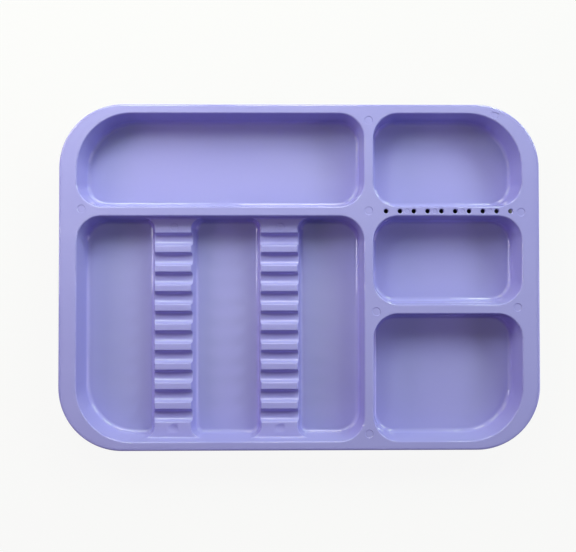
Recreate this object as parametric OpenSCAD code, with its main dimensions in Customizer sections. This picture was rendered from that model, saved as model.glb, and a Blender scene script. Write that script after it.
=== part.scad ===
// Divided dental set-up tray, one thin moulding: a flat land with a down-turned lip, five tub-shaped
// compartments hanging from it, and two notched rests that carry hand instruments side by side.
// Frame: origin on the table under the tray's centre, +X along the length, +Y towards the long
// compartment, +Z up. Millimetres.

/* [Tray] */
// Overall length, along X
tray_length = 339.7; // [330:0.1:350]
// Overall width, along Y
tray_width = 244.5; // [238:0.1:252]
// Overall height
tray_height = 22.2; // [19:0.1:26]
// Radius of the four outer corners, seen from above
outer_corner_r = 45; // [42:1:50]
// Thickness of every wall, floor and land
wall = 1.8; // [1.4:0.1:2]
// Depth of the down-turned lip, from the land's top
lip_depth = 8.2; // [5:0.1:12]

/* [Compartments] */
// Width of the land along the two short sides
side_land = 12.7; // [11:0.1:15]
// Width of the land along the two long sides
end_land = 6.6; // [6:0.1:8]
// Width of the land between two compartments
divider_land = 6.6; // [6.4:0.1:8]
// X of the centre line of the divider that runs the width of the tray
centre_divider_x = 48.7; // [40:0.1:60]
// Y of the centre line of the divider that runs the length of the tray
upper_divider_y = 46.3; // [40:0.1:52]
// Y of the centre line of the short divider on the right
lower_divider_y = -22.9; // [-30:0.1:-15]
// Small corner radius of the compartments
small_corner_r = 17.5; // [15:0.5:19]
// Large corner radius, where a compartment lies in a corner of the tray
large_corner_r = 38.5; // [34:0.5:40]
// Draft of the compartment walls, degrees
draft = 6; // [3:0.5:8]
// Radius between wall and floor
floor_fillet = 3; // [2:0.5:4]

/* [Instrument rests] */
// X of the left rest's centre line
left_rest_x = -90.8; // [-94:0.1:-88]
// Distance between the two rests
rest_spacing = 76.2; // [70:0.1:80]
// Width of a rest at its top
rest_width = 26; // [22:0.5:28]
// Height of the rests' top above the table
rest_height = 13.5; // [11:0.1:16]
// Draft of the rests' side walls, degrees
rest_draft = 12; // [8:1:15]
// Radius of the webs where a rest meets the end walls
rest_web_r = 8; // [5:0.5:9]
// Notches in each rest
notch_count = 10; // [4:1:10]
// Distance from one notch to the next
notch_pitch = 14; // [13:0.1:14.2]
// Width of a notch at the rest's top
notch_width = 9.1; // [7:0.1:10]
// Depth of a notch
notch_depth = 4.2; // [3:0.1:5]
// Draft of a notch's two sides, degrees
notch_draft = 12; // [8:1:15]
// Radius between a notch's sides and its bottom
notch_root_r = 3; // [1:0.1:3]
// Y of the middle of the row of notches
notch_row_y = -36; // [-38:0.1:-34]

/* [Bur holes] */
// Holes in the row
bur_hole_count = 10; // [2:1:10]
// Distance from one hole to the next
bur_hole_pitch = 9.8; // [8:0.1:9.9]
// X of the first hole
bur_hole_first_x = 61; // [60:0.1:66]
// Radius of a hole
bur_hole_r = 1.6; // [1.2:0.05:1.65]
// Depth, and width, of the bevel round a hole's mouth
bur_hole_bevel = 0.6; // [0.3:0.1:0.8]

/* [Hidden] */

lavender = [0.60, 0.60, 0.86];
corner_steps = 12;   // straight steps in a quarter circle
fillet_steps = 4;    // straight steps in a wall-to-floor fillet
notch_steps = 6;     // straight steps in each root of a notch
past = 5;            // how far a cutting shape runs past what it cuts

half_l = tray_length / 2;
half_w = tray_width / 2;
land_z = tray_height - wall;

// A compartment is [[x0, y0, x1, y1], [radius at bottom left, bottom right, top right, top left]],
// measured where its walls meet the land's top.
left_x0 = -half_l + side_land;
left_x1 = centre_divider_x - divider_land / 2;
right_x0 = centre_divider_x + divider_land / 2;
right_x1 = half_l - side_land;
bottom_y = -half_w + end_land;
top_y = half_w - end_land;
small = small_corner_r;
large = large_corner_r;
long_compartment = [[left_x0, upper_divider_y + divider_land / 2, left_x1, top_y],
    [small, small, small, large]];
instrument_compartment = [[left_x0, bottom_y, left_x1, upper_divider_y - divider_land / 2],
    [large, small, small, small]];
upper_right_compartment = [[right_x0, upper_divider_y + divider_land / 2, right_x1, top_y],
    [small, small, large, small]];
middle_right_compartment = [[right_x0, lower_divider_y + divider_land / 2, right_x1,
    upper_divider_y - divider_land / 2], [small, small, small, small]];
lower_right_compartment = [[right_x0, bottom_y, right_x1, lower_divider_y - divider_land / 2],
    [small, large, small, small]];

// The four pieces that are cut out of the land for the dividers, as [x0, y0, x1, y1]. Each reaches
// into the rounded corners at its ends.
cut_reach = 6.5;      // how far a cut reaches past a divider's straight edge, into the corners
divider_cut = divider_land / 2 + cut_reach;
centre_cut = [centre_divider_x - divider_cut, bottom_y + cut_reach, centre_divider_x + divider_cut,
    top_y - cut_reach];
upper_cut = [left_x0 + cut_reach, upper_divider_y - divider_cut, centre_cut[0],
    upper_divider_y + divider_cut];
bur_cut = [centre_cut[2], upper_divider_y - divider_cut, right_x1 - small / 4,
    upper_divider_y + divider_cut];
lower_cut = [centre_cut[2], lower_divider_y - divider_cut, right_x1 - cut_reach,
    lower_divider_y + divider_cut];

// How far a compartment's wall has come in at height z
function wall_inset(z) = (tray_height - z) * tan(draft);

// Centre of the wall-to-floor fillet, as [inset, z]
fillet_centre = [wall_inset(wall + floor_fillet) + floor_fillet / cos(draft), wall + floor_fillet];

// Arc about the fillet's centre, as [inset, z], from the angle a0 to a1 below the wall's normal
function fillet_arc(r, a0, a1) = [for (k = [0 : fillet_steps])
    let (a = a0 + (a1 - a0) * k / fillet_steps)
    [fillet_centre[0] - r * cos(a), fillet_centre[1] - r * sin(a)]];

// A tub's section, from the middle of its underside, up the outer wall, and down the inner one
inner_wall = concat([[wall_inset(land_z), land_z]], fillet_arc(floor_fillet, draft, 90));
tub_section = concat(fillet_arc(floor_fillet + wall, 90, draft),
    [[wall_inset(land_z) - wall / cos(draft), land_z]], inner_wall);

// Quarter circle about c, starting at the angle a0
function quarter(c, r, a0) = [for (k = [0 : corner_steps])
    let (a = a0 + 90 * k / corner_steps) c + r * [cos(a), sin(a)]];

// Rounded rectangle, moved inwards by inset, anticlockwise
function outline(box, radii, inset = 0) =
    let (x0 = box[0] + inset, y0 = box[1] + inset, x1 = box[2] - inset, y1 = box[3] - inset,
        r = [for (v = radii) v - inset])
    concat(quarter([x0 + r[0], y0 + r[0]], r[0], 180), quarter([x1 - r[1], y0 + r[1]], r[1], 270),
        quarter([x1 - r[2], y1 - r[2]], r[2], 0), quarter([x0 + r[3], y1 - r[3]], r[3], 90));

tray_box = [-half_l, -half_w, half_l, half_w];
tray_radii = [for (k = [0 : 3]) outer_corner_r];
rests_x = [left_rest_x, left_rest_x + rest_spacing];
bur_holes_x = [for (k = [0 : bur_hole_count - 1]) bur_hole_first_x + k * bur_hole_pitch];

module opening(compartment) {
    polygon(outline(compartment[0], compartment[1]));
}

// The whole land, from above
module land_outline() {
    difference() {
        polygon(outline(tray_box, tray_radii));
        opening(long_compartment);
        opening(instrument_compartment);
        opening(upper_right_compartment);
        opening(middle_right_compartment);
        opening(lower_right_compartment);
    }
}

module rectangle(box) {
    translate([box[0], box[1]]) square([box[2] - box[0], box[3] - box[1]]);
}

// The stretch of land inside a rectangle
module land_piece(box) {
    translate([0, 0, land_z]) linear_extrude(wall) intersection() {
        land_outline();
        rectangle(box);
    }
}

// Closed surface through the loops of a section, carried round a compartment's outline
module tub(compartment) {
    loops = [for (p = tub_section) [for (q = outline(compartment[0], compartment[1], p[0]))
        [q[0], q[1], p[1]]]];
    n = len(loops[0]);
    last = len(loops) - 1;
    sides = [for (j = [0 : last - 1], i = [0 : n - 1])
        let (next = (i + 1) % n) [j * n + i, (j + 1) * n + i, (j + 1) * n + next, j * n + next]];
    bottom = [for (i = [0 : n - 1]) i];
    floor_top = [for (i = [0 : n - 1]) last * n + n - 1 - i];
    polyhedron([for (loop = loops) each loop], concat([bottom], sides, [floor_top]));
}

// Hollow under a rest, open to the space under the rim at both ends
module rest_hollow(x) {
    top = rest_height - notch_depth - wall;
    half_top = rest_width / 2 + (rest_height - top) * tan(rest_draft) - wall / cos(rest_draft);
    half_foot = rest_width / 2 + (rest_height - wall) * tan(rest_draft) - wall / cos(rest_draft);
    reach = tray_width;
    translate([x, 0, 0]) rotate([90, 0, 0]) linear_extrude(2 * reach, center = true)
        polygon([[-half_foot, -past], [half_foot, -past], [half_foot, wall], [half_top, top],
            [-half_top, top], [-half_foot, wall]]);
}

// One side of a notch, as [inset from the notch's edge, z]: a leaning wall, and a round root
notch_root = [(notch_depth - notch_root_r) * tan(notch_draft) + notch_root_r / cos(notch_draft),
    rest_height - notch_depth + notch_root_r];
notch_side = concat([[0, rest_height]], [for (k = [0 : notch_steps])
    let (a = notch_draft + (90 - notch_draft) * k / notch_steps)
    notch_root - notch_root_r * [cos(a), sin(a)]]);

// One notch seen from the side, from its -Y edge to its +Y edge
function notch(y) = concat([for (p = notch_side) [y - notch_width / 2 + p[0], p[1]]],
    [for (k = [len(notch_side) - 1 : -1 : 0]) [y + notch_width / 2 - notch_side[k][0],
        notch_side[k][1]]]);

// A rest seen from the side: its ends follow the compartment's end walls
module rest_side() {
    box = instrument_compartment[0];
    end_wall = concat([[wall_inset(rest_height), rest_height]],
        [for (p = inner_wall) if (p[1] < rest_height) p]);
    n = len(end_wall);
    south = [for (k = [0 : n - 1]) [box[1] + end_wall[n - 1 - k][0], end_wall[n - 1 - k][1]]];
    north = [for (p = end_wall) [box[3] - p[0], p[1]]];
    notches = [for (k = [0 : notch_count - 1])
        each notch(notch_row_y + (k - (notch_count - 1) / 2) * notch_pitch)];
    polygon(concat(south, notches, north));
}

// Web with a hollow quarter-circle face, filling the corner at the origin between a rest, on its -X
// side, and an end wall, on its -Y side
module rest_web() {
    r = rest_web_r;
    overlap = 1;
    translate([0, 0, wall]) linear_extrude(rest_height - wall)
        polygon(concat([[-overlap, r], [-overlap, -past], [r, -past]],
            [for (k = [0 : corner_steps]) let (a = 270 - 90 * k / corner_steps)
                [r + r * cos(a), r + r * sin(a)]]));
}

module rest(x) {
    foot = rest_width / 2 + (rest_height - wall) * tan(rest_draft);
    inset = wall_inset(rest_height);
    across = rest_width + 4 * rest_web_r;
    y0 = instrument_compartment[0][1] + inset;
    y1 = instrument_compartment[0][3] - inset;
    difference() {
        intersection() {
            translate([x - across / 2, 0, 0]) rotate([90, 0, 90]) linear_extrude(across)
                rest_side();
            union() {
                translate([x, 0, 0]) rotate([90, 0, 0])
                    linear_extrude(2 * tray_width, center = true)
                    polygon([[-foot, wall], [foot, wall], [rest_width / 2, rest_height],
                        [-rest_width / 2, rest_height]]);
                for (side = [-1, 1]) {
                    translate([x + side * rest_width / 2, y0, 0])
                        mirror([side < 0 ? 1 : 0, 0, 0]) rest_web();
                    translate([x + side * rest_width / 2, y1, 0]) mirror([0, 1, 0])
                        mirror([side < 0 ? 1 : 0, 0, 0]) rest_web();
                }
            }
        }
        rest_hollow(x);
    }
}

module rim_land() {
    color(lavender) translate([0, 0, land_z]) linear_extrude(wall) difference() {
        land_outline();
        for (box = [centre_cut, upper_cut, bur_cut, lower_cut]) rectangle(box);
    }
}

module outer_lip() {
    color(lavender) translate([0, 0, tray_height - lip_depth]) linear_extrude(lip_depth - wall)
        difference() {
            polygon(outline(tray_box, tray_radii));
            polygon(outline(tray_box, tray_radii, wall));
        }
}

module centre_divider_land() {
    color(lavender) land_piece(centre_cut);
}

module upper_divider_land() {
    color(lavender) land_piece(upper_cut);
}

module bur_hole_land() {
    color(lavender) difference() {
        land_piece(bur_cut);
        for (x = bur_holes_x) translate([x, upper_divider_y, land_z]) {
            translate([0, 0, -past]) cylinder(h = wall + 2 * past, r = bur_hole_r, $fn = 48);
            translate([0, 0, wall - bur_hole_bevel])
                cylinder(h = 2 * bur_hole_bevel, r1 = bur_hole_r, r2 = bur_hole_r + 2 * bur_hole_bevel,
                    $fn = 48);
        }
    }
}

module lower_divider_land() {
    color(lavender) land_piece(lower_cut);
}

module long_tub() {
    color(lavender) tub(long_compartment);
}

module instrument_tub() {
    color(lavender) difference() {
        tub(instrument_compartment);
        for (x = rests_x) rest_hollow(x);
    }
}

module upper_right_tub() {
    color(lavender) tub(upper_right_compartment);
}

module middle_right_tub() {
    color(lavender) tub(middle_right_compartment);
}

module lower_right_tub() {
    color(lavender) tub(lower_right_compartment);
}

module left_rest() {
    color(lavender) rest(rests_x[0]);
}

module right_rest() {
    color(lavender) rest(rests_x[1]);
}

rim_land();
outer_lip();
centre_divider_land();
upper_divider_land();
bur_hole_land();
lower_divider_land();
long_tub();
instrument_tub();
upper_right_tub();
middle_right_tub();
lower_right_tub();
left_rest();
right_rest();
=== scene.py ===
"""Looks of a divided dental set-up tray: one glossy lavender moulding, made in thirteen pieces.

Every piece is a surface worked out with numpy. Lengths are in metres, in the frame of the packed
part: the origin is on the table under the tray's centre, +X along its length, +Z up.
"""

import math

import bpy
import numpy as np
from bpy.props import FloatProperty, FloatVectorProperty, IntProperty, PointerProperty
from mathutils import Euler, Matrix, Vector
from mathutils.geometry import delaunay_2d_cdt


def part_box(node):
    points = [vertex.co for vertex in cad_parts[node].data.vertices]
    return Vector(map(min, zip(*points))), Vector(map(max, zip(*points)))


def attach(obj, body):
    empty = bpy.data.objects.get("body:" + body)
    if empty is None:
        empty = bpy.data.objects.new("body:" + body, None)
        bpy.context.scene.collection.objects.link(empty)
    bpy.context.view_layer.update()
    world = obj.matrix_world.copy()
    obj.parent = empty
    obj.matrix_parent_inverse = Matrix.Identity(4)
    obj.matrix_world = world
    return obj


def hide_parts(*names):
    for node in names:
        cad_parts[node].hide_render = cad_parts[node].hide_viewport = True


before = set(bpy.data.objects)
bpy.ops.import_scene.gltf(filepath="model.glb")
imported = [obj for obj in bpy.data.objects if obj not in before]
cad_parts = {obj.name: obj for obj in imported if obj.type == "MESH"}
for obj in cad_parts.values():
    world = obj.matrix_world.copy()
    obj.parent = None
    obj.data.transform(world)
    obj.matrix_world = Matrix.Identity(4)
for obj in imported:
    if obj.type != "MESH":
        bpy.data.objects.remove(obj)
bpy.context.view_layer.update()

bl_info = {
    "name": "Divided dental tray",
    "version": (1, 0, 0),
    "blender": (4, 5, 0),
    "location": "3D View > Sidebar > Dental tray",
    "description": "Builds the pieces of a divided dental set-up tray and a small studio round it",
    "category": "Add Mesh",
}

MM = 0.001
RIGHT_ANGLE = math.pi / 2
CORNER_STEPS = 24          # straight steps in a quarter circle, seen from above
FILLET_STEPS = 8           # straight steps in a small arc of a section
RING_STEPS = 48            # straight steps round a hole or a pin mark
GUARD = 0.5 * MM           # length of the narrow strip beside an arc that keeps the flat beside it flat
SHARP = math.radians(38)   # edges that turn further than this are shaded sharp

PLAIN_TUBS = ("long_tub", "upper_right_tub", "middle_right_tub", "lower_right_tub")
DIVIDER_LANDS = ("centre_divider_land", "upper_divider_land", "bur_hole_land", "lower_divider_land")
RESTS = ("left_rest", "right_rest")
# The corners of each compartment that lie in a corner of the tray, of: bottom left, bottom right,
# top right, top left
LARGE_CORNERS = {
    "long_tub": (False, False, False, True),
    "instrument_tub": (True, False, False, False),
    "upper_right_tub": (False, False, True, False),
    "middle_right_tub": (False, False, False, False),
    "lower_right_tub": (False, True, False, False),
}

EYE = (-0.0067, 0.0029, 0.5154)      # where the camera stands
EYE_TURN = (0.91, -0.59, -0.05)      # the camera's turn about X, Y and Z, in degrees
EYE_SHIFT = (-0.0167, -0.025)        # the shift of its picture
CEILING = 0.68                       # height of the glow that the gloss mirrors
CEILING_REACH = (0.43, 0.34)         # half the glow's length and width
FLOOR_REACH = 3.0                    # half the length of the studio floor
FLOOR_DROP = 0.05 * MM               # how far the floor lies under the tray
PAPER_GREY = 0.035                   # how much light the floor's paper gives back
# The floor's glow is masked off under the tray, which paints a shadow there.
PAPER_GLOW = 0.955                   # how brightly it glows away from the tray
WORLD_COLOUR = (0.72, 0.72, 1, 1)    # colour of the even light from all round


def length(name, description, millimetres, low=0.0, high=400.0):
    """A length property, with its default and range given in millimetres."""
    return FloatProperty(name=name, description=description, default=millimetres * MM,
                         min=low * MM, max=high * MM, unit="LENGTH", subtype="DISTANCE", precision=5)


def angle(name, description, degrees, low=0.0, high=90.0):
    """An angle property, with its default and range given in degrees."""
    return FloatProperty(name=name, description=description, default=math.radians(degrees),
                         min=math.radians(low), max=math.radians(high), unit="ROTATION",
                         subtype="ANGLE")


class TraySizes(bpy.types.PropertyGroup):
    """Sizes of the land, the lip and the compartments."""

    wall: length("Wall", "Thickness of every wall, floor and land", 1.8, 1.4, 2.0)
    lip_depth: length("Lip depth", "Depth of the down-turned lip", 8.2, 5, 12)
    lip_edge: length("Lip edge", "Radius of the edge between land and lip", 1.4, 0.2, 2.5)
    outer_corner: length("Outer corner", "Radius of the tray's four corners", 45, 42, 50)
    small_corner: length("Small corner", "Radius of a compartment's plain corners", 17.5, 15, 19)
    large_corner: length("Large corner", "Radius of a compartment's corner in a corner of the tray",
                         38.5, 34, 40)
    draft: angle("Draft", "Draft of the compartment walls", 6, 3, 8)
    lip_draft: angle("Lip draft", "Draft of the lip's outer face", 1, 0, 3)
    edge: length("Compartment edge", "Radius of the edge between land and wall", 1.0, 0.2, 1.1)
    floor_fillet: length("Floor fillet", "Radius between wall and floor", 3, 2, 4)


class RestSizes(bpy.types.PropertyGroup):
    """Sizes of the two notched instrument rests."""

    web: length("End web", "Radius of the webs where a rest meets the end walls", 8, 5, 9)
    side_draft: angle("Side draft", "Draft of a rest's side walls", 12, 8, 15)
    side_edge: length("Side edge", "Radius of the edge between a rest's top and its sides", 0.6,
                      0.1, 0.75)
    foot_fillet: length("Foot fillet", "Radius between a rest's side and the floor", 3, 1, 4)
    end_fillet: length("End fillet", "Radius between a rest's top and the end wall", 1.2, 0.3, 2)
    notch_count: IntProperty(name="Notches", description="Notches in each rest", default=10,
                             min=4, max=10)
    notch_pitch: length("Notch pitch", "Distance from one notch to the next", 14, 13, 14.2)
    notch_width: length("Notch width", "Width of a notch at the rest's top", 9.1, 7, 10)
    notch_depth: length("Notch depth", "Depth of a notch", 4.2, 3, 5)
    notch_draft: angle("Notch draft", "Draft of a notch's two sides", 12, 8, 15)
    notch_edge: length("Notch edge", "Radius of a notch's upper edges", 0.8, 0.2, 1.2)
    notch_root: length("Notch root", "Radius between a notch's sides and its bottom", 3, 1, 3)
    notch_row_y: FloatProperty(name="Notch row Y", description="Y of the middle of the notch row",
                               default=-36 * MM, unit="LENGTH", subtype="DISTANCE", precision=5)


class MarkSizes(bpy.types.PropertyGroup):
    """Sizes of the bur holes and of the marks that the mould's ejector pins left."""

    hole_count: IntProperty(name="Bur holes", description="Holes in the row", default=10, min=2,
                            max=10)
    hole_pitch: length("Hole pitch", "Distance from one hole to the next", 9.8, 8, 9.9)
    first_hole_x: length("First hole X", "X of the first hole", 61, 60, 66)
    hole_radius: length("Hole radius", "Radius of a bur hole", 1.6, 1.2, 1.65)
    hole_bevel: length("Hole bevel", "Width and depth of the round at a hole's mouth", 0.6, 0.3, 0.8)
    pin_radius: length("Pin mark radius", "Radius of a large pin mark", 3, 1, 4)
    small_pin_radius: length("Small pin mark radius", "Radius of a pin mark between bur holes", 1.9,
                             1, 2.1)
    pin_depth: length("Pin mark depth", "Depth of a pin mark", 0.28, 0.05, 0.6)
    pin_slope: length("Pin mark edge", "Width of a pin mark's sloping edge", 0.3, 0.05, 0.6)


class PlasticFinish(bpy.types.PropertyGroup):
    """Colour and gloss of the lavender plastic."""

    colour: FloatVectorProperty(name="Plastic", description="Colour of the plastic",
                                subtype="COLOR", size=3, min=0, max=1, default=(0.28, 0.262, 0.64))
    pale: FloatVectorProperty(name="Pale flow", description="Colour of the paler flow streaks",
                              subtype="COLOR", size=3, min=0, max=1, default=(0.305, 0.287, 0.66))
    roughness: FloatProperty(name="Roughness", description="Roughness of the gloss", default=0.03,
                             min=0, max=1, subtype="FACTOR")
    waviness: length("Waviness", "Height of the slow waves that cooling left in the flats", 0.05,
                     0, 0.3)


class StudioLook(bpy.types.PropertyGroup):
    """Lights, floor and camera."""

    north_power: FloatProperty(name="North light", description="Power of the far light behind",
                               default=2.6, min=0, max=100, unit="POWER")
    north_east_power: FloatProperty(name="North-east light", description="Power of the low light "
                                    "behind on the right", default=6.7, min=0, max=100, unit="POWER")
    east_power: FloatProperty(name="East light", description="Power of the low light on the right",
                              default=5.0, min=0, max=100, unit="POWER")
    side_power: FloatProperty(name="Side lights", description="Power of the low light on each side",
                              default=3.8, min=0, max=100, unit="POWER")
    near_power: FloatProperty(name="Near lights", description="Power of the strongest near light",
                              default=1.17, min=0, max=100, unit="POWER")
    gloss_power: FloatProperty(name="Gloss light", description="Power of the light that is only "
                               "seen in the gloss", default=2.0, min=0, max=100, unit="POWER")
    ceiling: FloatProperty(name="Ceiling", description="Brightness of the ceiling in the gloss",
                           default=0.9, min=0, max=5)
    fill: FloatProperty(name="Fill", description="Strength of the even light from all round",
                        default=0.07, min=0, max=5)
    floor_colour: FloatVectorProperty(name="Floor", description="Colour of the pale floor",
                                      subtype="COLOR", size=3, min=0, max=1,
                                      default=(0.955, 0.955, 0.948))
    focal_length: FloatProperty(name="Focal length", description="Focal length of the camera",
                                default=43.75 * MM, min=0.01, max=0.2, unit="LENGTH",
                                subtype="DISTANCE_CAMERA")


def arc(centre, radius, start, end, steps=FILLET_STEPS):
    """Points on a circle: centre + radius * (cos a, sin a), with a in equal steps, in degrees."""
    a = np.radians(np.linspace(start, end, steps + 1))
    return np.column_stack((centre[0] + radius * np.cos(a), centre[1] + radius * np.sin(a)))


def rounded_rectangle(box, radii, inset):
    """Anticlockwise outline of a rectangle with round corners, moved inwards by each inset.

    A corner's point is its centre plus (radius - inset) * (cos a, sin a), with a running through a
    quarter turn. One more point on either side of it lies a guard's length along the straight edge.
    """
    inset = np.asarray(inset, float)
    radii = np.asarray(radii, float)
    x0, y0, x1, y1 = box
    inwards = np.array([[1, 1], [-1, 1], [-1, -1], [1, -1]])
    centres = np.array([[x0, y0], [x1, y0], [x1, y1], [x0, y1]]) + radii[:, None] * inwards
    quarter = np.linspace(0, RIGHT_ANGLE, CORNER_STEPS + 1)
    a = np.radians([180, 270, 0, 90])[:, None] + quarter[np.r_[0, :CORNER_STEPS + 1, CORNER_STEPS]]
    along = np.zeros(CORNER_STEPS + 3)
    along[[0, -1]] = -GUARD, GUARD
    outwards = np.stack((np.cos(a), np.sin(a)), -1)
    sideways = np.stack((-np.sin(a), np.cos(a)), -1)
    reach = radii - inset[..., None]
    plan = (centres[:, None] + reach[..., None, None] * outwards + along[:, None] * sideways)
    return plan.reshape(inset.shape + (-1, 2))


def carry(section, box, radii):
    """A section of (inset, z) carried round a rounded rectangle, as a grid of closed loops."""
    plan = rounded_rectangle(box, radii, section[:, 0])
    height = np.broadcast_to(section[:, 1, None, None], plan.shape[:2] + (1,))
    return np.concatenate((plan, height), axis=2)


def skin(grid, ring=False, ladder=False):
    """Vertices and faces over a grid of closed loops, outwards where loop direction x next loop is.

    A ring joins the last loop to the first. Otherwise each end is closed, by one face, or by a
    ladder of faces that joins every point to the one opposite, where the loops are symmetrical.
    """
    rows, count = grid.shape[:2]
    index = np.arange(rows * count).reshape(rows, count)
    lower = index if ring else index[:-1]
    upper = np.roll(index, -1, axis=0) if ring else index[1:]
    corners = (lower, np.roll(lower, -1, axis=1), np.roll(upper, -1, axis=1), upper)
    faces = np.stack(corners, axis=-1).reshape(-1, 4).tolist()
    if ladder:
        k = np.arange(1, count // 2)
        rungs = np.stack((k, k + 1, count - k - 1, count - k), axis=-1)
        last = index[-1, 0]
        faces += rungs[:, ::-1].tolist() + (rungs + last).tolist()
        faces += [[count - 1, 1, 0], [last, last + 1, last + count - 1]]
    elif not ring:
        faces += [index[0, ::-1].tolist(), index[-1].tolist()]
    return grid.reshape(-1, 3), faces


def new_mesh(name, vertices, faces):
    """A mesh object at the origin, with its place in its vertices."""
    mesh = bpy.data.meshes.new(name)
    mesh.from_pydata(np.asarray(vertices).tolist(), [], faces)
    mesh.validate()
    piece = bpy.data.objects.new(name, mesh)
    bpy.context.scene.collection.objects.link(piece)
    return piece


def cut_away(piece, cutters):
    """Takes closed shapes, each as (vertices, faces), out of a closed piece."""
    tools = [new_mesh("cutter", *shape) for shape in cutters]
    for tool in tools:
        modifier = piece.modifiers.new("cut", "BOOLEAN")
        modifier.operation = "DIFFERENCE"
        modifier.solver = "EXACT"
        modifier.object = tool
    bpy.context.view_layer.update()
    depsgraph = bpy.context.evaluated_depsgraph_get()
    mesh = bpy.data.meshes.new_from_object(piece.evaluated_get(depsgraph))
    piece.modifiers.clear()
    piece.data = mesh
    for tool in tools:
        bpy.data.objects.remove(tool)


def finish_piece(piece, node):
    """Shades a piece, gives it the plastic, and lets it stand for its CAD node."""
    mesh = piece.data
    mesh.shade_smooth()
    mesh.set_sharp_from_angle(angle=SHARP)
    mesh.materials.clear()
    mesh.materials.append(lavender_plastic())
    piece.name = node + "_skin"
    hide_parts(node)
    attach(piece, "root")


def tray_top():
    """Height of the land above the table."""
    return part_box("rim_land")[1].z


def wall_inset(sizes, z):
    """How far a compartment's wall has come in at height z: its depth under the land * tan draft."""
    return (tray_top() - z) * math.tan(sizes.draft)


def wall_reach(sizes):
    """How far a tub's outer wall lies outside the compartment's outline, under the land."""
    return sizes.wall / math.cos(sizes.draft) - wall_inset(sizes, tray_top() - sizes.wall)


def land_margin(sizes):
    """How far the flat land's pieces stop short of a compartment's outline, where its edge rolls."""
    return sizes.edge * (1 / math.cos(sizes.draft) - math.tan(sizes.draft)) + 0.05 * MM


def lip_margin(sizes):
    """How far in from the tray's outline the lip's piece meets the flat land."""
    return sizes.wall + 1.6 * MM


def compartment(sizes, tub):
    """A compartment's outline at the land's top, as its box and its four corner radii."""
    low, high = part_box(tub)
    reach = wall_reach(sizes)
    box = (low.x + reach, low.y + reach, high.x - reach, high.y - reach)
    return box, [sizes.large_corner if large else sizes.small_corner for large in LARGE_CORNERS[tub]]


def tray_outline():
    """The tray's box, seen from above."""
    low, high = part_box("outer_lip")
    return (low.x, low.y, high.x, high.y)


def tub_section(sizes):
    """Section of a tub as (inset, z), from its underside, up outside, over the edge, to its floor.

    Under the edge the wall leans in by its draft, and meets the floor in a round arc; the underside
    follows at the wall's thickness. The edge is an arc tangent to the land and to the wall.
    """
    top, wall, draft = tray_top(), sizes.wall, math.degrees(sizes.draft)
    cosine, tangent = math.cos(sizes.draft), math.tan(sizes.draft)
    foot_z = wall + sizes.floor_fillet
    foot = (wall_inset(sizes, foot_z) + sizes.floor_fillet / cosine, foot_z)
    roll = (-sizes.edge * (1 / cosine - tangent), top - sizes.edge)
    margin = land_margin(sizes)
    under = arc(foot, sizes.floor_fillet + wall, 270, 180 + draft)
    edge = arc(roll, sizes.edge, 90, draft)
    fillet = arc(foot, sizes.floor_fillet, 180 + draft, 270)
    down = GUARD * np.array([math.sin(sizes.draft), -math.cos(sizes.draft)])
    return np.vstack((
        [[foot[0] + GUARD, 0]], under, [under[-1] - down],
        [[-wall_reach(sizes), top - wall], [-margin, top - wall], [-margin, top]],
        edge, [edge[-1] + down], [fillet[0] - down], fillet, [[foot[0] + GUARD, wall]],
    ))


def make_tub(sizes, tub):
    """A whole tub: its section carried round the compartment's outline, closed by its floor."""
    box, radii = compartment(sizes, tub)
    return new_mesh(tub, *skin(carry(tub_section(sizes), box, radii)))


def lip_section(sizes):
    """Section of the lip as (inset, z): underside, inner face, bottom edge, outer face, top edge.

    The inner face meets the underside in a hollow arc, and the other edges are round.
    """
    top, wall = tray_top(), sizes.wall
    bottom = top - sizes.lip_depth
    tip = 0.5 * MM
    inner = 1.2 * MM
    margin = lip_margin(sizes)
    lean = (sizes.lip_depth - sizes.lip_edge) * math.tan(sizes.lip_draft)
    return np.vstack((
        [[margin, top - wall]],
        arc((wall + inner, top - wall - inner), inner, 90, 180),
        arc((wall - tip, bottom + tip), tip, 0, -90, 4),
        arc((tip, bottom + tip), tip, 270, 180, 4),
        arc((lean + sizes.lip_edge, top - sizes.lip_edge), sizes.lip_edge, 179, 90),
        [[margin, top]],
    ))


def inside(loop, points):
    """True where a line from a point towards +X crosses the closed loop an odd number of times."""
    a, b = loop, np.roll(loop, -1, axis=0)
    x, y = points[:, :1], points[:, 1:]
    crosses = (a[:, 1] > y) != (b[:, 1] > y)
    rise = np.where(b[:, 1] == a[:, 1], 1, b[:, 1] - a[:, 1])
    meets = a[:, 0] + (y - a[:, 1]) * (b[:, 0] - a[:, 0]) / rise
    return (crosses & (meets > x)).sum(axis=1) % 2 == 1


def bur_holes(marks):
    """Centres of the bur holes, in a row along the divider they stand on."""
    low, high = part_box("bur_hole_land")
    x = marks.first_hole_x + marks.hole_pitch * np.arange(marks.hole_count)
    return np.column_stack((x, np.full(len(x), (low.y + high.y) / 2)))


def pin_marks(marks):
    """Centres and radii of the pin marks in the land.

    A large one stands in each widening where dividers meet each other or the rim, and a small one
    in every second gap between bur holes.
    """
    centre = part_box("centre_divider_land")
    middle = (centre[0].x + centre[1].x) / 2
    holes = bur_holes(marks)
    row = holes[0, 1]
    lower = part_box("lower_divider_land")
    lower_row = (lower[0].y + lower[1].y) / 2
    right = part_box("upper_right_tub")[1].x
    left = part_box("long_tub")[0].x
    large = np.array([
        [middle, centre[1].y + 1.6 * MM], [middle, centre[0].y - 1.3 * MM], [middle, row + 0.3 * MM],
        [middle + 5.2 * MM, lower_row - 1.7 * MM], [right - 20.4 * MM, centre[1].y + 5.7 * MM],
        [right - 2.2 * MM, row - 0.7 * MM], [right - 4.9 * MM, lower_row + 1.1 * MM],
        [left + 4.9 * MM, row + 1.6 * MM],
    ])
    small = (holes[1:-1:2] + holes[2::2]) / 2
    centres = np.vstack((large, small))
    return centres, np.repeat([marks.pin_radius, marks.small_pin_radius], [len(large), len(small)])


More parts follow.
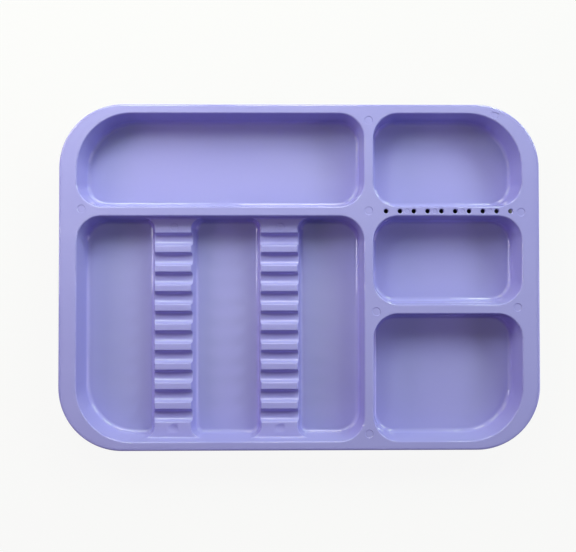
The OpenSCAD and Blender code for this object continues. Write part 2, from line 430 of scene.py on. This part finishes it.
def distances(points, centres):
    """Distance of every point to every centre."""
    return np.linalg.norm(points[:, None] - centres[None], axis=2)


def land_height(marks, points):
    """Height of the land's top: level, with a quarter-round drop into each hole, and pin marks.

    At a hole the drop is bevel * (1 - sqrt(1 - s * s)), with s from 0 at the mouth to 1 at the bore.
    In a pin mark it is depth * s, with s from 0 to 1 over its sloping edge.
    """
    into_hole = (marks.hole_radius + marks.hole_bevel - distances(points, bur_holes(marks)))
    s = np.clip(into_hole.max(axis=1) / marks.hole_bevel, 0, 1)
    drop = marks.hole_bevel * (1 - np.sqrt(1 - s * s))
    centres, radii = pin_marks(marks)
    s = np.clip((radii - distances(points, centres)).max(axis=1) / marks.pin_slope, 0, 1)
    return tray_top() - drop - marks.pin_depth * s


def rings(centres, radii):
    """Closed rings round some centres: centre + radius * (cos a, sin a)."""
    a = np.linspace(0, 2 * math.pi, RING_STEPS, endpoint=False)
    circle = np.stack((np.cos(a), np.sin(a)), axis=-1)
    radii = np.broadcast_to(radii, len(centres))
    return list(centres[:, None] + radii[:, None, None] * circle)


def land_triangles(sizes, marks):
    """The flat land, as points and triangles, with edges along every outline, ring and cut."""
    outer = rounded_rectangle(tray_outline(), [sizes.outer_corner] * 4, lip_margin(sizes))
    pockets = [rounded_rectangle(*compartment(sizes, tub), -land_margin(sizes))
               for tub in LARGE_CORNERS]
    holes = bur_holes(marks)
    bores = rings(holes, marks.hole_radius)
    loops = [outer, *pockets, *bores]
    for s in (*np.sin(np.radians([75, 60, 45, 30, 15, 0])), -0.2):
        loops += rings(holes, marks.hole_radius + marks.hole_bevel * (1 - s))
    centres, radii = pin_marks(marks)
    for share in (0, 1):
        loops += rings(centres, radii - share * marks.pin_slope)
    for land in DIVIDER_LANDS:
        low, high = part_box(land)
        loops.append(np.array([[low.x, low.y], [high.x, low.y], [high.x, high.y], [low.x, high.y]]))
    starts = np.cumsum([0] + [len(loop) for loop in loops])
    edges = []
    for start, loop in zip(starts, loops):
        index = start + np.arange(len(loop))
        edges += np.column_stack((index, np.roll(index, -1))).tolist()
    found = delaunay_2d_cdt([Vector(p) for p in np.vstack(loops)], edges, [], 0, 1e-7)
    points = np.array([tuple(p) for p in found[0]])
    triangles = np.array([face for face in found[2] if len(face) == 3])
    middle = points[triangles].mean(axis=1)
    solid = inside(outer, middle)
    for loop in pockets + bores:
        solid &= ~inside(loop, middle)
    return points, triangles[solid], middle[solid]


def slab(points, heights, bottom, triangles):
    """A closed slab: triangles at their heights, the same ones turned over below, and the sides."""
    used, triangles = np.unique(triangles, return_inverse=True)
    triangles = triangles.reshape(-1, 3)
    count = len(used)
    plan = points[used]
    turn = np.cross(plan[triangles[:, 1]] - plan[triangles[:, 0]],
                    plan[triangles[:, 2]] - plan[triangles[:, 0]])
    triangles = np.where(turn[:, None] > 0, triangles, triangles[:, ::-1])
    edges = np.concatenate([triangles[:, [k, (k + 1) % 3]] for k in range(3)])
    rim = edges[~np.isin(edges[:, 0] * count + edges[:, 1], edges[:, 1] * count + edges[:, 0])]
    sides = np.column_stack((rim + count, rim[:, ::-1]))
    vertices = np.vstack((np.column_stack((plan, heights[used])),
                          np.column_stack((plan, np.full(count, bottom)))))
    faces = triangles.tolist() + (triangles[:, ::-1] + count).tolist() + sides.tolist()
    return vertices, faces


def rounded_path(points, radii):
    """A path of (y, z) with each inner corner rounded, as its points and its upward unit normals.

    An arc starts radius * tan(turn / 2) before its corner. Its point is the arc's centre plus or
    minus radius * normal, and the normal turns evenly from one straight's to the next one's.
    """
    step = np.diff(points, axis=0)
    direction = step / np.linalg.norm(step, axis=1)[:, None]
    before, after = direction[:-1], direction[1:]
    turn = np.arctan2(before[:, 0] * after[:, 1] - before[:, 1] * after[:, 0],
                      (before * after).sum(axis=1))
    side = np.sign(turn)[:, None]
    radii = np.asarray(radii)[:, None]
    start = points[1:-1] - before * radii * np.tan(np.abs(turn) / 2)[:, None]
    normal = np.column_stack((-before[:, 1], before[:, 0]))
    centre = start + side * radii * normal
    a = turn[:, None] * np.linspace(0, 1, FILLET_STEPS + 1)
    normals = np.stack((normal[:, :1] * np.cos(a) - normal[:, 1:] * np.sin(a),
                        normal[:, :1] * np.sin(a) + normal[:, 1:] * np.cos(a)), axis=-1)
    path = centre[:, None] - (side * radii)[:, None] * normals
    return path.reshape(-1, 2), normals.reshape(-1, 2)


def rest_profile(sizes, rests, node):
    """A rest seen from the side, from end wall to end wall, as points and normals in order of y.

    Each notch has a level bottom, a round root on either side of it, and two leaning sides.
    """
    low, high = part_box(node)
    top = high.z
    rise = 2.5 * MM
    lean = rise * math.tan(sizes.draft)
    middle = rests.notch_row_y + rests.notch_pitch * (np.arange(rests.notch_count)
                                                      - (rests.notch_count - 1) / 2)
    half = rests.notch_width / 2
    foot = half - rests.notch_depth * math.tan(rests.notch_draft)
    y = middle[:, None] + [-half, -foot, foot, half]
    z = top - np.broadcast_to([0, rests.notch_depth, rests.notch_depth, 0], y.shape)
    notches = np.stack((y, z), axis=-1).reshape(-1, 2)
    corners = np.vstack((
        [[low.y - lean, top + rise], [low.y, top]], notches,
        [[high.y, top], [high.y + lean, top + rise]],
    ))
    notch_radii = [rests.notch_edge, rests.notch_root, rests.notch_root, rests.notch_edge]
    radii = [rests.end_fillet, *notch_radii * rests.notch_count, rests.end_fillet]
    path, normals = rounded_path(corners, radii)
    flare = rests.web * (1 - np.sin(np.radians(np.arange(0, 60, 6))))
    y = np.concatenate((low.y + flare, high.y - flare))
    path = np.vstack((path, np.column_stack((y, np.full(len(y), top)))))
    normals = np.vstack((normals, np.tile([0.0, 1.0], (len(y), 1))))
    order = np.argsort(path[:, 0], kind="stable")
    return path[order], normals[order]


def rest_grid(sizes, rests, node):
    """A rest as loops across it, one for every point of its profile.

    Half a loop runs from the middle of the top, over the rounded side edge, down the side wall and
    out through the foot fillet, and then sinks into the floor. Point = edge centre + outwards * q,
    where q grows with depth * tan draft. Near the ends outwards turns from sideways to the way that
    the end wall faces, about the centre of the web's hollow quarter circle, and the draft changes
    from the rest's to the wall's.
    """
    low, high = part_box(node)
    path, normals = rest_profile(sizes, rests, node)
    top, floor = high.z, sizes.wall - 0.015 * MM
    edge, fillet, web = rests.side_edge, rests.foot_fillet, rests.web
    half = (high.x - low.x) / 2 - web
    y, z = (path - edge * normals).T
    end = np.where(y > (low.y + high.y) / 2, 1.0, -1.0)
    past = end * (y - np.where(end > 0, high.y - web, low.y + web))
    draft = np.full(len(y), rests.side_draft)
    for _ in range(4):
        reach = web - (top - z) * np.tan(draft) + edge / np.cos(draft)
        sine = np.clip(past / reach, 0, 1)
        draft = rests.side_draft + (sizes.draft - rests.side_draft) * sine ** 2
    cosine = np.sqrt(1 - sine ** 2)
    centre = np.column_stack((half + web - cosine * reach, y, z))
    outwards = np.column_stack((cosine, -end * sine, np.zeros(len(y))))
    up = np.array([0.0, 0.0, 1.0])
    slope = np.tan(draft)[:, None]
    wall_normal = outwards * np.cos(draft)[:, None] + up * np.sin(draft)[:, None]
    top_normal = np.column_stack((np.zeros(len(y)), normals))

    across = np.array([0, 0.35, 0.7])[None, :, None]
    flat = (centre + edge * top_normal)[:, None] * np.where([True, False, False], across, 1)
    share = np.linspace(0, 1, FILLET_STEPS + 1)[None, :, None]
    normal = top_normal[:, None] * (1 - share) + wall_normal[:, None] * share
    normal /= np.linalg.norm(normal, axis=2, keepdims=True)
    rolled = centre[:, None] + edge * normal

    def down(q, heights):
        """Points q outwards from the edge's centre, at the given heights."""
        plan = centre[:, None, :2] + outwards[:, None, :2] * q[..., None]
        return np.concatenate((plan, heights[..., None]), axis=2)

    depth = z[:, None]
    foot_z = floor + fillet
    foot_q = (depth - foot_z) * slope + (edge + fillet) / np.cos(draft)[:, None]
    turn = draft[:, None] + (RIGHT_ANGLE - draft[:, None]) * np.linspace(0, 1, FILLET_STEPS + 1)
    fillet_z = foot_z - fillet * np.sin(turn)
    wall_z = fillet_z[:, :1] + (rolled[:, -1:, 2] - fillet_z[:, :1]) * np.array([[0.9, 0.5, 0.1]])
    wall_q = (depth - wall_z) * slope + edge / np.cos(draft)[:, None]
    sunk = np.full((len(y), 1), sizes.wall / 2)
    side = np.concatenate((down(wall_q, wall_z), down(foot_q - fillet * np.cos(turn), fillet_z),
                           down(foot_q, sunk)), axis=1)
    half_loop = np.concatenate((flat, rolled, side), axis=1)
    loop = np.concatenate((half_loop, half_loop[:, :0:-1] * [-1, 1, 1]), axis=1)
    into_wall = [0, sizes.wall / 2, 0]
    loop = np.concatenate((loop[:1] - into_wall, loop, loop[-1:] + into_wall))
    return loop + [(low.x + high.x) / 2, 0, 0]


def hollow_under(sizes, rests, node):
    """The long hollow under a rest: a prism whose section narrows upwards with the rest's draft."""
    low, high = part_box(node)
    middle = (low.x + high.x) / 2
    half = (high.x - low.x) / 2 - rests.web
    wall = sizes.wall
    slope = math.tan(rests.side_draft)
    wall_across = wall / math.cos(rests.side_draft)
    top = high.z - rests.notch_depth - wall
    half_top = half + (high.z - top) * slope - wall_across
    half_foot = half + (high.z - wall) * slope - wall_across
    x = np.array([-half_foot, half_foot, half_foot, half_top, -half_top, -half_foot])
    z = np.array([-wall, -wall, wall, top, top, wall])
    ends = np.array([high.y + 5 * MM, low.y - 5 * MM])
    grid = np.stack(np.broadcast_arrays(middle + x, ends[:, None], z), axis=-1)
    return skin(grid)


def pin_cutter(marks, centre, top, depth):
    """A shallow round plug that presses a pin mark: rings that widen upwards over its edge."""
    radius = marks.pin_radius - marks.pin_slope * np.array([1, 0, 0])
    height = top + depth * np.array([-1, 0, 2])
    a = np.linspace(0, 2 * math.pi, RING_STEPS, endpoint=False)
    grid = np.stack(np.broadcast_arrays(centre[0] + radius[:, None] * np.cos(a),
                                        centre[1] + radius[:, None] * np.sin(a),
                                        height[:, None]), axis=-1)
    return skin(grid)


class Field:
    """A node's output, as a field of numbers: arithmetic on it adds Math nodes to its tree."""

    def __init__(self, tree, socket=None):
        self.tree, self.socket = tree, socket

    def node(self, kind, settings=(), sockets=(), output=0):
        """Adds a node of a kind, sets its settings, and then its sockets' values or links."""
        made = self.tree.nodes.new("ShaderNode" + kind)
        for name, value in dict(settings).items():
            if name == "stops":
                ramp = made.color_ramp.elements
                for k, (place, colour) in enumerate(value):
                    stop = ramp[k] if k < len(ramp) else ramp.new(place)
                    stop.position, stop.color = place, colour
            else:
                setattr(made, name, value)
        for name, value in dict(sockets).items():
            if isinstance(value, Field):
                self.tree.links.new(value.socket, made.inputs[name])
            else:
                made.inputs[name].default_value = value
        return Field(self.tree, made.outputs[output] if made.outputs else None)

    def math(self, operation, a, b):
        return self.node("Math", {"operation": operation}, {0: a, 1: b})

    def __add__(self, other):
        return self.math("ADD", self, other)

    def __radd__(self, other):
        return self.math("ADD", other, self)

    def __sub__(self, other):
        return self.math("SUBTRACT", self, other)

    def __rsub__(self, other):
        return self.math("SUBTRACT", other, self)

    def __mul__(self, other):
        return self.math("MULTIPLY", self, other)

    def __rmul__(self, other):
        return self.math("MULTIPLY", other, self)

    def __pow__(self, other):
        return self.math("POWER", self, other)

    def step(self, low, high):
        """0 below low and 1 above high, smoothly between."""
        return self.node("MapRange", {"interpolation_type": "SMOOTHSTEP"},
                         {"Value": self, "From Min": low, "From Max": high})


def new_material(name):
    """An empty node material."""
    material = bpy.data.materials.new(name)
    material.use_nodes = True
    material.node_tree.nodes.clear()
    return material


def lavender_plastic():
    """Glossy injection-moulded plastic: faint flow streaks, slow waves, a fine orange peel, scuffs."""
    found = bpy.data.materials.get("glossy_lavender")
    if found:
        return found
    finish = bpy.context.scene.plastic_finish
    material = new_material("glossy_lavender")
    tree = Field(material.node_tree)
    place = tree.node("TexCoord", output="Object")

    def noise(scale, detail=2.0, stretch=(1, 1, 1)):
        """Noise with a given number of waves in a metre."""
        at = tree.node("Mapping", {}, {"Vector": place, "Scale": stretch})
        return tree.node("TexNoise", {}, {"Vector": at, "Scale": scale, "Detail": detail})

    flow = noise(9.0, 3.0, (1.0, 2.2, 1.0)).step(0.35, 0.7)
    speckle = noise(420.0, 2.0).step(0.45, 0.8)
    colour = tree.node("Mix", {"data_type": "RGBA"},
                       {"Factor": flow * 0.6 + speckle * 0.12, "A": (*finish.colour, 1),
                        "B": (*finish.pale, 1)}, output=2)
    scuff = noise(60.0, 6.0, (1.0, 6.0, 1.0)).step(0.6, 0.85)
    roughness = scuff * 0.03 + noise(25.0, 2.0) * 0.01 + (finish.roughness - 0.005)
    wave = noise(14.0, 1.0) * finish.waviness * 2.0
    ripple = noise(70.0, 1.0) * (finish.waviness * 0.06)
    peel = noise(900.0, 1.0) * (0.0002 * MM)
    bump = tree.node("Bump", {}, {"Strength": 1.0, "Distance": 1.0,
                                  "Height": wave + ripple + peel})
    surface = tree.node("BsdfPrincipled", {}, {
        "Base Color": colour, "Roughness": roughness, "IOR": 1.5, "Normal": bump,
    })
    tree.node("OutputMaterial", {}, {"Surface": surface})
    return material


def studio_floor(look):
    """Pale paper, lit so brightly that it is nearly even, and dark only right under the tray."""
    material = new_material("studio_floor")
    tree = Field(material.node_tree)
    place = tree.node("TexCoord", output="Object")
    x0, y0, x1, y1 = tray_outline()
    apart = tree.node("SeparateXYZ", {}, {"Vector": place})
    x = Field(apart.tree, apart.socket.node.outputs["X"])
    y = Field(apart.tree, apart.socket.node.outputs["Y"])
    round_corner = (x * (2 / (x1 - x0))) ** 6.0 + (y * (2 / (y1 - y0))) ** 6.0
    # Painted shadow: the floor's glow is masked off under the tray and fades in towards the tray's
    # outline.
    glow_outside_painted_shadow = round_corner.step(0.55, 0.86)
    glow = tree.node("Emission", {}, {"Color": (*look.floor_colour, 1), "Strength": glow_outside_painted_shadow * PAPER_GLOW})
    paper = tree.node("BsdfDiffuse", {}, {"Color": (PAPER_GREY, PAPER_GREY, PAPER_GREY, 1)})
    surface = tree.node("AddShader", {}, {0: glow, 1: paper})
    tree.node("OutputMaterial", {}, {"Surface": surface})
    return material


def sky_light(name, azimuth, elevation, distance, size, power, colour, diffuse=True, gloss=True):
    """A square light that shines on the tray's middle, unseen by the camera.

    It hangs at distance * (cos e * sin a, cos e * cos a, sin e), with the azimuth a from +Y towards
    +X and the elevation e, both in degrees.
    """
    a, e = math.radians(azimuth), math.radians(elevation)
    place = distance * Vector((math.cos(e) * math.sin(a), math.cos(e) * math.cos(a), math.sin(e)))
    data = bpy.data.lights.new(name, "AREA")
    data.size = size
    data.energy = power
    data.color = colour
    light = bpy.data.objects.new(name, data)
    light.location = place
    light.rotation_euler = place.to_track_quat("Z", "Y").to_euler()
    light.visible_camera = False
    light.visible_diffuse = diffuse
    light.visible_glossy = gloss
    bpy.context.scene.collection.objects.link(light)


def mirrored_glow(piece, strength, colour):
    """Makes a piece of the studio glow, and lets it be seen only in the tray's gloss."""
    material = new_material(piece.name)
    tree = Field(material.node_tree)
    glow = tree.node("Emission", {}, {"Color": (*colour, 1), "Strength": strength})
    tree.node("OutputMaterial", {}, {"Surface": glow})
    piece.data.materials.append(material)
    piece.visible_camera = False
    piece.visible_diffuse = False
    piece.visible_transmission = False
    piece.visible_shadow = False


class TRAY_OT_add_land(bpy.types.Operator):
    """Adds the flat land: the rim and the four dividers, with bur holes and pin marks"""

    bl_idname = "tray.add_land"
    bl_label = "Add land"

    def execute(self, context):
        sizes, marks = context.scene.tray_sizes, context.scene.mark_sizes
        points, triangles, middle = land_triangles(sizes, marks)
        heights = land_height(marks, points)
        free = np.ones(len(triangles), bool)
        for land in DIVIDER_LANDS:
            low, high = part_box(land)
            here = free & (middle >= low[:2]).all(axis=1) & (middle <= high[:2]).all(axis=1)
            free &= ~here
            shape = slab(points, heights, tray_top() - sizes.wall, triangles[here])
            finish_piece(new_mesh(land, *shape), land)
        shape = slab(points, heights, tray_top() - sizes.wall, triangles[free])
        finish_piece(new_mesh("rim_land", *shape), "rim_land")
        return {"FINISHED"}


class TRAY_OT_add_lip(bpy.types.Operator):
    """Adds the down-turned lip with its rounded edge"""

    bl_idname = "tray.add_lip"
    bl_label = "Add lip"

    def execute(self, context):
        sizes = context.scene.tray_sizes
        grid = carry(lip_section(sizes), tray_outline(), [sizes.outer_corner] * 4)
        finish_piece(new_mesh("outer_lip", *skin(grid, ring=True)), "outer_lip")
        return {"FINISHED"}


class TRAY_OT_add_plain_tubs(bpy.types.Operator):
    """Adds the four compartments without rests"""

    bl_idname = "tray.add_plain_tubs"
    bl_label = "Add plain compartments"

    def execute(self, context):
        for tub in PLAIN_TUBS:
            finish_piece(make_tub(context.scene.tray_sizes, tub), tub)
        return {"FINISHED"}


class TRAY_OT_add_instrument_tub(bpy.types.Operator):
    """Adds the large compartment, with its floor and end walls open under the rests"""

    bl_idname = "tray.add_instrument_tub"
    bl_label = "Add instrument compartment"

    def execute(self, context):
        sizes, rests = context.scene.tray_sizes, context.scene.rest_sizes
        piece = make_tub(sizes, "instrument_tub")
        cut_away(piece, [hollow_under(sizes, rests, node) for node in RESTS])
        finish_piece(piece, "instrument_tub")
        return {"FINISHED"}


class TRAY_OT_add_rests(bpy.types.Operator):
    """Adds the two notched rests, hollow underneath"""

    bl_idname = "tray.add_rests"
    bl_label = "Add instrument rests"

    def execute(self, context):
        scene = context.scene
        sizes, rests, marks = scene.tray_sizes, scene.rest_sizes, scene.mark_sizes
        for node in RESTS:
            low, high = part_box(node)
            piece = new_mesh(node, *skin(rest_grid(sizes, rests, node), ladder=True))
            x = (low.x + high.x) / 2 + 0.7 * MM
            cutters = [hollow_under(sizes, rests, node),
                       pin_cutter(marks, (x, high.y - 6.5 * MM), high.z, marks.pin_depth),
                       pin_cutter(marks, (x, low.y + 6.7 * MM), high.z, marks.pin_depth / 2)]
            cut_away(piece, cutters)
            finish_piece(piece, node)
        return {"FINISHED"}


class TRAY_OT_add_stage(bpy.types.Operator):
    """Adds the floor, the lights and the camera"""

    bl_idname = "tray.add_stage"
    bl_label = "Add studio"

    def execute(self, context):
        scene = context.scene
        look = scene.studio_look
        corners = [[x * FLOOR_REACH, y * FLOOR_REACH, -FLOOR_DROP]
                   for x, y in ((-1, -1), (1, -1), (1, 1), (-1, 1))]
        floor = new_mesh("studio_floor", corners, [[0, 1, 2, 3]])
        floor.data.materials.append(studio_floor(look))
        sky_light("north_light", 0, 42, 1.2, 0.3, look.north_power, (0.8, 0.82, 1))
        sky_light("north_east_light", 30, 28, 1.2, 0.3, look.north_east_power, (0.8, 1, 0.68))
        sky_light("east_light", 60, 28, 1.2, 0.3, look.east_power, (0.81, 1, 0.68))
        sky_light("right_light", 100, 25, 1.2, 0.4, look.side_power, (0.75, 0.68, 1))
        sky_light("left_light", -100, 25, 1.2, 0.4, 0.85 * look.side_power, (1, 0.68, 1), gloss=False)
        sky_light("left_gloss", -88, 42, 1.2, 0.15, look.gloss_power, (1, 1, 1), diffuse=False)
        sky_light("near_north_light", 0, 28, 0.55, 0.16, 0.93 * look.near_power, (1, 1, 0.68))
        sky_light("near_north_west_light", -30, 42, 0.55, 0.16, look.near_power, (0.83, 1, 0.68))
        sky_light("near_west_light", -60, 28, 0.55, 0.16, 0.7 * look.near_power, (1, 1, 0.7))
        corners = [[x * CEILING_REACH[0], y * CEILING_REACH[1], CEILING]
                   for x, y in ((-1, -1), (-1, 1), (1, 1), (1, -1))]
        mirrored_glow(new_mesh("ceiling", corners, [[0, 1, 2, 3]]), look.ceiling, (1, 1, 0.95))
        world = bpy.data.worlds.new("studio")
        world.use_nodes = True
        background = world.node_tree.nodes["Background"]
        background.inputs["Color"].default_value = WORLD_COLOUR
        background.inputs["Strength"].default_value = look.fill
        scene.world = world
        camera = bpy.data.objects.new("camera", bpy.data.cameras.new("camera"))
        camera.location = EYE
        camera.rotation_euler = Euler([math.radians(a) for a in EYE_TURN])
        camera.data.lens = look.focal_length / MM
        camera.data.shift_x, camera.data.shift_y = EYE_SHIFT
        camera.data.clip_start = 0.01
        scene.collection.objects.link(camera)
        scene.camera = camera
        scene.view_settings.view_transform = "Standard"
        return {"FINISHED"}


class TRAY_PT_panel(bpy.types.Panel):
    """Lists the tray's pieces and the studio"""

    bl_idname = "TRAY_PT_panel"
    bl_label = "Divided dental tray"
    bl_space_type = "VIEW_3D"
    bl_region_type = "UI"
    bl_category = "Dental tray"

    def draw(self, context):
        for operator in OPERATORS:
            self.layout.operator(operator.bl_idname)
        for name, group in GROUPS.items():
            column = self.layout.column(heading=group.__doc__)
            for key in group.__annotations__:
                column.prop(getattr(context.scene, name), key)


GROUPS = {
    "tray_sizes": TraySizes,
    "rest_sizes": RestSizes,
    "mark_sizes": MarkSizes,
    "plastic_finish": PlasticFinish,
    "studio_look": StudioLook,
}
OPERATORS = (TRAY_OT_add_land, TRAY_OT_add_lip, TRAY_OT_add_plain_tubs, TRAY_OT_add_instrument_tub,
             TRAY_OT_add_rests, TRAY_OT_add_stage)


def register():
    for group in (*GROUPS.values(), *OPERATORS, TRAY_PT_panel):
        bpy.utils.register_class(group)
    for name, group in GROUPS.items():
        setattr(bpy.types.Scene, name, PointerProperty(type=group))


def unregister():
    for name in GROUPS:
        delattr(bpy.types.Scene, name)
    for group in reversed((*GROUPS.values(), *OPERATORS, TRAY_PT_panel)):
        bpy.utils.unregister_class(group)


def main():
    register()
    bpy.ops.tray.add_land()
    bpy.ops.tray.add_lip()
    bpy.ops.tray.add_plain_tubs()
    bpy.ops.tray.add_instrument_tub()
    bpy.ops.tray.add_rests()
    bpy.ops.tray.add_stage()


if __name__ == "__main__":
    main()
